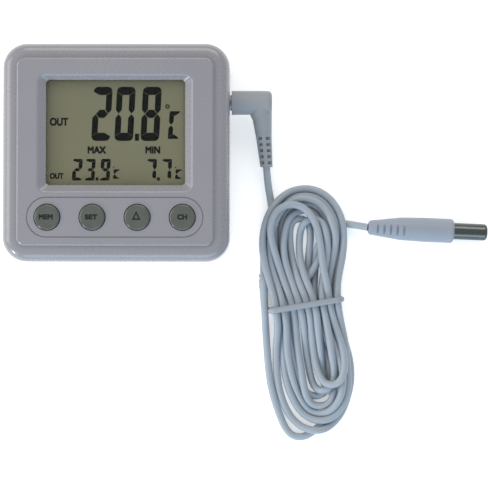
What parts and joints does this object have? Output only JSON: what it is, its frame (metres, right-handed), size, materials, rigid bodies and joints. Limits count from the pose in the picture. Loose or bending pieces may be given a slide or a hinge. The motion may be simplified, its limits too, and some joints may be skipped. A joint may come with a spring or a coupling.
{
  "type": "maximum minimum thermometer",
  "caption": "Digital maximum minimum thermometer: square display unit with push buttons, stand and battery door, and a plug-in probe on a tied hank of cord.",
  "frame": {"origin": "middle of the flat back of the display unit, which lies on its back", "axes": "+Z out of the display, +X to the display's right, +Y to the display's top"},
  "size_m": [0.2089, 0.1732, 0.0248],
  "materials": {
    "case_plastic": "smooth light grey-lavender moulded plastic, semi-gloss",
    "window_plastic": "clear polished plastic",
    "lcd_glass": "grey-olive display glass, satin polariser",
    "frame_plastic": "plain white",
    "strip_rubber": "layered black and grey",
    "board_laminate": "green solder mask",
    "screw_steel": "zinc plated",
    "chip_resin": "black resin",
    "crystal_metal": "tinned can",
    "keypad_rubber": "translucent grey silicone",
    "button_silver": "metallic silver paint with printed legends",
    "socket_plastic": "black",
    "contact_metal": "nickel plated",
    "battery_jacket": "plain printed sleeve",
    "plug_plastic": "grey-blue flexible overmould",
    "cord_plastic": "light grey-blue flexible sheath",
    "tie_plastic": "plastic-covered wire",
    "grip_plastic": "light grey flexible overmould",
    "barrel_steel": "drawn stainless steel",
    "potting_resin": "dark resin"
  },
  "bodies": {
    "display_unit": {"front_case": "case_plastic", "rear_case": "case_plastic", "case_screws": "screw_steel", "display_window": "window_plastic", "lcd_panel": "lcd_glass", "lcd_frame": "frame_plastic", "contact_strip_lower": "strip_rubber", "contact_strip_upper": "strip_rubber", "circuit_board": "board_laminate", "board_screws": "screw_steel", "controller_chip": "chip_resin", "timing_crystal": "crystal_metal", "keypad_mat": "keypad_rubber", "key_dome_1": "keypad_rubber", "key_dome_2": "keypad_rubber", "key_dome_3": "keypad_rubber", "key_dome_4": "keypad_rubber", "socket_housing": "socket_plastic", "socket_contact": "contact_metal", "battery_lower": "battery_jacket", "battery_upper": "battery_jacket", "battery_springs": "contact_metal", "battery_terminals": "contact_metal", "battery_link": "contact_metal"},
    "battery_door": {"battery_door": "case_plastic"},
    "stand": {"fold_out_stand": "case_plastic"},
    "probe_lead": {"plug_body": "plug_plastic", "plug_sleeve": "contact_metal", "plug_ring": "socket_plastic", "plug_tip": "contact_metal", "cord_from_plug": "cord_plastic", "cord_hank": "cord_plastic", "cord_tie": "tie_plastic", "cord_to_probe": "cord_plastic", "probe_grip": "grip_plastic", "probe_barrel": "barrel_steel", "probe_potting": "potting_resin", "sensor_bead": "potting_resin", "sensor_wires": "contact_metal"},
    "button_1": {"button_cap_1": "button_silver"},
    "button_2": {"button_cap_2": "button_silver"},
    "button_3": {"button_cap_3": "button_silver"},
    "button_4": {"button_cap_4": "button_silver"}
  },
  "joints": [
    {"name": "button_1_press", "type": "slide", "parent": "display_unit", "child": "button_1", "axis": [0, 0, -1], "range_m": [0, 0.001], "stiffness_N_per_m": 300, "springref_m": -0.0005, "deforming": ["key_dome_1"]},
    {"name": "button_2_press", "type": "slide", "parent": "display_unit", "child": "button_2", "axis": [0, 0, -1], "range_m": [0, 0.001], "stiffness_N_per_m": 300, "springref_m": -0.0005, "deforming": ["key_dome_2"]},
    {"name": "button_3_press", "type": "slide", "parent": "display_unit", "child": "button_3", "axis": [0, 0, -1], "range_m": [0, 0.001], "stiffness_N_per_m": 300, "springref_m": -0.0005, "deforming": ["key_dome_3"]},
    {"name": "button_4_press", "type": "slide", "parent": "display_unit", "child": "button_4", "axis": [0, 0, -1], "range_m": [0, 0.001], "stiffness_N_per_m": 300, "springref_m": -0.0005, "deforming": ["key_dome_4"]},
    {"name": "battery_door_hinge", "type": "hinge", "parent": "display_unit", "child": "battery_door", "pos_m": [0, 0.005, 0.001], "axis": [-1, 0, 0], "range_deg": [0, 80]},
    {"name": "stand_hinge", "type": "hinge", "parent": "display_unit", "child": "stand", "pos_m": [0, -0.003, 0.0016], "axis": [1, 0, 0], "range_deg": [0, 65]},
    {"name": "lead_unplug", "type": "slide", "parent": "display_unit", "child": "probe_lead", "axis": [1, 0, 0], "range_m": [0, 0.016]}
  ]
}
